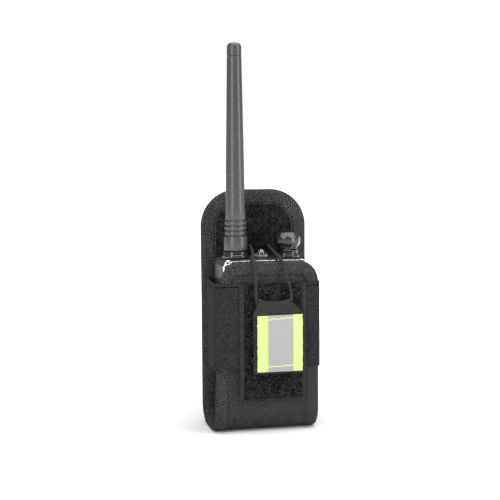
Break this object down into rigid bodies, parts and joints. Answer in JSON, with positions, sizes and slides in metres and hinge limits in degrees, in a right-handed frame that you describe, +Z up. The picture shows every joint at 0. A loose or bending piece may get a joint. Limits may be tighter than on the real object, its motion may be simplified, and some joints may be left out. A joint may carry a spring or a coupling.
{
  "type": "portable radio in belt holster",
  "caption": "Handheld two-way radio with a tall flexible antenna, carried in a nylon belt holster with an elastic side band, cord retainer and reflective pull tab.",
  "frame": {"origin": "centre of the base, on the surface that the holster's bend stands on", "axes": "+X to the viewer's right seen from the front, +Y from the front to the belt side, +Z up along the antenna"},
  "size_m": [0.0734, 0.0574, 0.2567],
  "materials": {
    "nylon": "woven nylon, matt",
    "binding_tape": "herringbone nylon webbing, matt",
    "elastic": "knitted elastic, matt",
    "loop_pile": "brushed loop pile, very matt",
    "cord": "braided elastic cord, matt",
    "lime_tape": "fluorescent lime tape, satin",
    "silver_tape": "silver retroreflective film, satin",
    "case_plastic": "black moulded plastic, semi-gloss",
    "knob_plastic": "black moulded plastic, gloss",
    "key_rubber": "silicone rubber, matt",
    "antenna_rubber": "grey-black moulded rubber, satin",
    "chrome": "bright plated",
    "cast_metal": "die cast, fine grained",
    "brass": "plated brass, smooth",
    "clear_plastic": "clear acrylic, polished",
    "circuit": "solder-masked board, satin"
  },
  "bodies": {
    "holster": {"sling_shell": "nylon", "sling_lining": "loop_pile", "sling_binding": "binding_tape", "elastic_band": "elastic", "loop_patch": "loop_pile", "belt_loop": "binding_tape"},
    "retainer": {"retainer_cord": "cord"},
    "tab": {"pull_tab": "binding_tape", "tab_hook_patch": "loop_pile", "reflective_patch": "lime_tape", "reflective_stripe": "silver_tape"},
    "radio": {"front_case": "case_plastic", "rear_chassis": "cast_metal", "top_panel": "case_plastic", "chrome_trim": "chrome", "display_window": "clear_plastic", "display_module": "circuit", "speaker": "key_rubber", "keypad_membrane": "key_rubber", "main_board": "circuit", "rf_shield": "cast_metal", "microphone": "cast_metal", "battery_tray": "case_plastic", "battery_cover": "case_plastic", "battery_cell": "silver_tape", "battery_contact": "brass", "case_screw_left": "cast_metal", "case_screw_right": "cast_metal", "jack_cover": "key_rubber", "volume_switch": "cast_metal", "volume_seat": "case_plastic", "antenna_seat": "case_plastic", "antenna_connector": "brass", "torch_bezel": "chrome", "torch_lens": "clear_plastic", "torch_led": "clear_plastic"},
    "knob": {"volume_knob": "knob_plastic", "volume_shaft": "cast_metal"},
    "antenna": {"antenna_whip": "antenna_rubber", "antenna_cap": "antenna_rubber"},
    "ptt": {"ptt_button": "key_rubber"},
    "call": {"call_button": "key_rubber"},
    "monitor": {"monitor_button": "key_rubber"},
    "latch": {"battery_latch": "case_plastic"},
    "key_01_body": {"key_01": "key_rubber"},
    "key_02_body": {"key_02": "key_rubber"},
    "key_03_body": {"key_03": "key_rubber"},
    "key_04_body": {"key_04": "key_rubber"},
    "key_05_body": {"key_05": "key_rubber"},
    "key_06_body": {"key_06": "key_rubber"},
    "key_07_body": {"key_07": "key_rubber"},
    "key_08_body": {"key_08": "key_rubber"},
    "key_09_body": {"key_09": "key_rubber"},
    "key_10_body": {"key_10": "key_rubber"},
    "key_11_body": {"key_11": "key_rubber"},
    "key_12_body": {"key_12": "key_rubber"},
    "key_13_body": {"key_13": "key_rubber"},
    "key_14_body": {"key_14": "key_rubber"},
    "key_15_body": {"key_15": "key_rubber"},
    "key_16_body": {"key_16": "key_rubber"}
  },
  "joints": [
    {"name": "radio_lift", "type": "slide", "parent": "holster", "child": "radio", "axis": [0, 0, 1], "range_m": [0, 0.045]},
    {"name": "cord_swing", "type": "hinge", "parent": "holster", "child": "retainer", "pos_m": [0, 0.01735, 0.1207], "axis": [-1, 0, 0], "range_deg": [0, 94], "deforming": ["retainer_cord"]},
    {"name": "tab_swing", "type": "hinge", "parent": "retainer", "child": "tab", "pos_m": [0, -0.02205, 0.1152], "axis": [-1, 0, 0], "range_deg": [0, 94]},
    {"name": "volume_turn", "type": "hinge", "parent": "radio", "child": "knob", "pos_m": [0.0188, -0.00105, 0.125], "axis": [0, 0, -1], "range_deg": [0, 280]},
    {"name": "antenna_unscrew", "type": "hinge", "parent": "radio", "child": "antenna", "pos_m": [-0.0166, -0.00105, 0.125], "axis": [0, 0, 1], "range_deg": [0, 1080]},
    {"name": "ptt_press", "type": "slide", "parent": "radio", "child": "ptt", "axis": [1, 0, 0], "range_m": [0, 0.001], "stiffness_N_per_m": 1500, "springref_m": -0.0005},
    {"name": "call_press", "type": "slide", "parent": "radio", "child": "call", "axis": [1, 0, 0], "range_m": [0, 0.001], "stiffness_N_per_m": 1000, "springref_m": -0.0005},
    {"name": "monitor_press", "type": "slide", "parent": "radio", "child": "monitor", "axis": [1, 0, 0], "range_m": [0, 0.001], "stiffness_N_per_m": 1000, "springref_m": -0.0005},
    {"name": "latch_slide", "type": "slide", "parent": "radio", "child": "latch", "axis": [0, 0, -1], "range_m": [0, 0.0015], "stiffness_N_per_m": 800, "springref_m": -0.001},
    {"name": "key_01_press", "type": "slide", "parent": "radio", "child": "key_01_body", "axis": [0, 1, 0], "range_m": [0, 0.0005], "stiffness_N_per_m": 1000, "springref_m": -0.0005},
    {"name": "key_02_press", "type": "slide", "parent": "radio", "child": "key_02_body", "axis": [0, 1, 0], "range_m": [0, 0.0005], "stiffness_N_per_m": 1000, "springref_m": -0.0005},
    {"name": "key_03_press", "type": "slide", "parent": "radio", "child": "key_03_body", "axis": [0, 1, 0], "range_m": [0, 0.0005], "stiffness_N_per_m": 1000, "springref_m": -0.0005},
    {"name": "key_04_press", "type": "slide", "parent": "radio", "child": "key_04_body", "axis": [0, 1, 0], "range_m": [0, 0.0005], "stiffness_N_per_m": 1000, "springref_m": -0.0005},
    {"name": "key_05_press", "type": "slide", "parent": "radio", "child": "key_05_body", "axis": [0, 1, 0], "range_m": [0, 0.0005], "stiffness_N_per_m": 1000, "springref_m": -0.0005},
    {"name": "key_06_press", "type": "slide", "parent": "radio", "child": "key_06_body", "axis": [0, 1, 0], "range_m": [0, 0.0005], "stiffness_N_per_m": 1000, "springref_m": -0.0005},
    {"name": "key_07_press", "type": "slide", "parent": "radio", "child": "key_07_body", "axis": [0, 1, 0], "range_m": [0, 0.0005], "stiffness_N_per_m": 1000, "springref_m": -0.0005},
    {"name": "key_08_press", "type": "slide", "parent": "radio", "child": "key_08_body", "axis": [0, 1, 0], "range_m": [0, 0.0005], "stiffness_N_per_m": 1000, "springref_m": -0.0005},
    {"name": "key_09_press", "type": "slide", "parent": "radio", "child": "key_09_body", "axis": [0, 1, 0], "range_m": [0, 0.0005], "stiffness_N_per_m": 1000, "springref_m": -0.0005},
    {"name": "key_10_press", "type": "slide", "parent": "radio", "child": "key_10_body", "axis": [0, 1, 0], "range_m": [0, 0.0005], "stiffness_N_per_m": 1000, "springref_m": -0.0005},
    {"name": "key_11_press", "type": "slide", "parent": "radio", "child": "key_11_body", "axis": [0, 1, 0], "range_m": [0, 0.0005], "stiffness_N_per_m": 1000, "springref_m": -0.0005},
    {"name": "key_12_press", "type": "slide", "parent": "radio", "child": "key_12_body", "axis": [0, 1, 0], "range_m": [0, 0.0005], "stiffness_N_per_m": 1000, "springref_m": -0.0005},
    {"name": "key_13_press", "type": "slide", "parent": "radio", "child": "key_13_body", "axis": [0, 1, 0], "range_m": [0, 0.0005], "stiffness_N_per_m": 1000, "springref_m": -0.0005},
    {"name": "key_14_press", "type": "slide", "parent": "radio", "child": "key_14_body", "axis": [0, 1, 0], "range_m": [0, 0.0005], "stiffness_N_per_m": 1000, "springref_m": -0.0005},
    {"name": "key_15_press", "type": "slide", "parent": "radio", "child": "key_15_body", "axis": [0, 1, 0], "range_m": [0, 0.0005], "stiffness_N_per_m": 1000, "springref_m": -0.0005},
    {"name": "key_16_press", "type": "slide", "parent": "radio", "child": "key_16_body", "axis": [0, 1, 0], "range_m": [0, 0.0005], "stiffness_N_per_m": 1000, "springref_m": -0.0005}
  ],
  "couplings": [
    {"joint": "cord_swing", "follows": "radio_lift", "rad_per_m": 36.444},
    {"joint": "tab_swing", "follows": "radio_lift", "rad_per_m": 36.444}
  ]
}
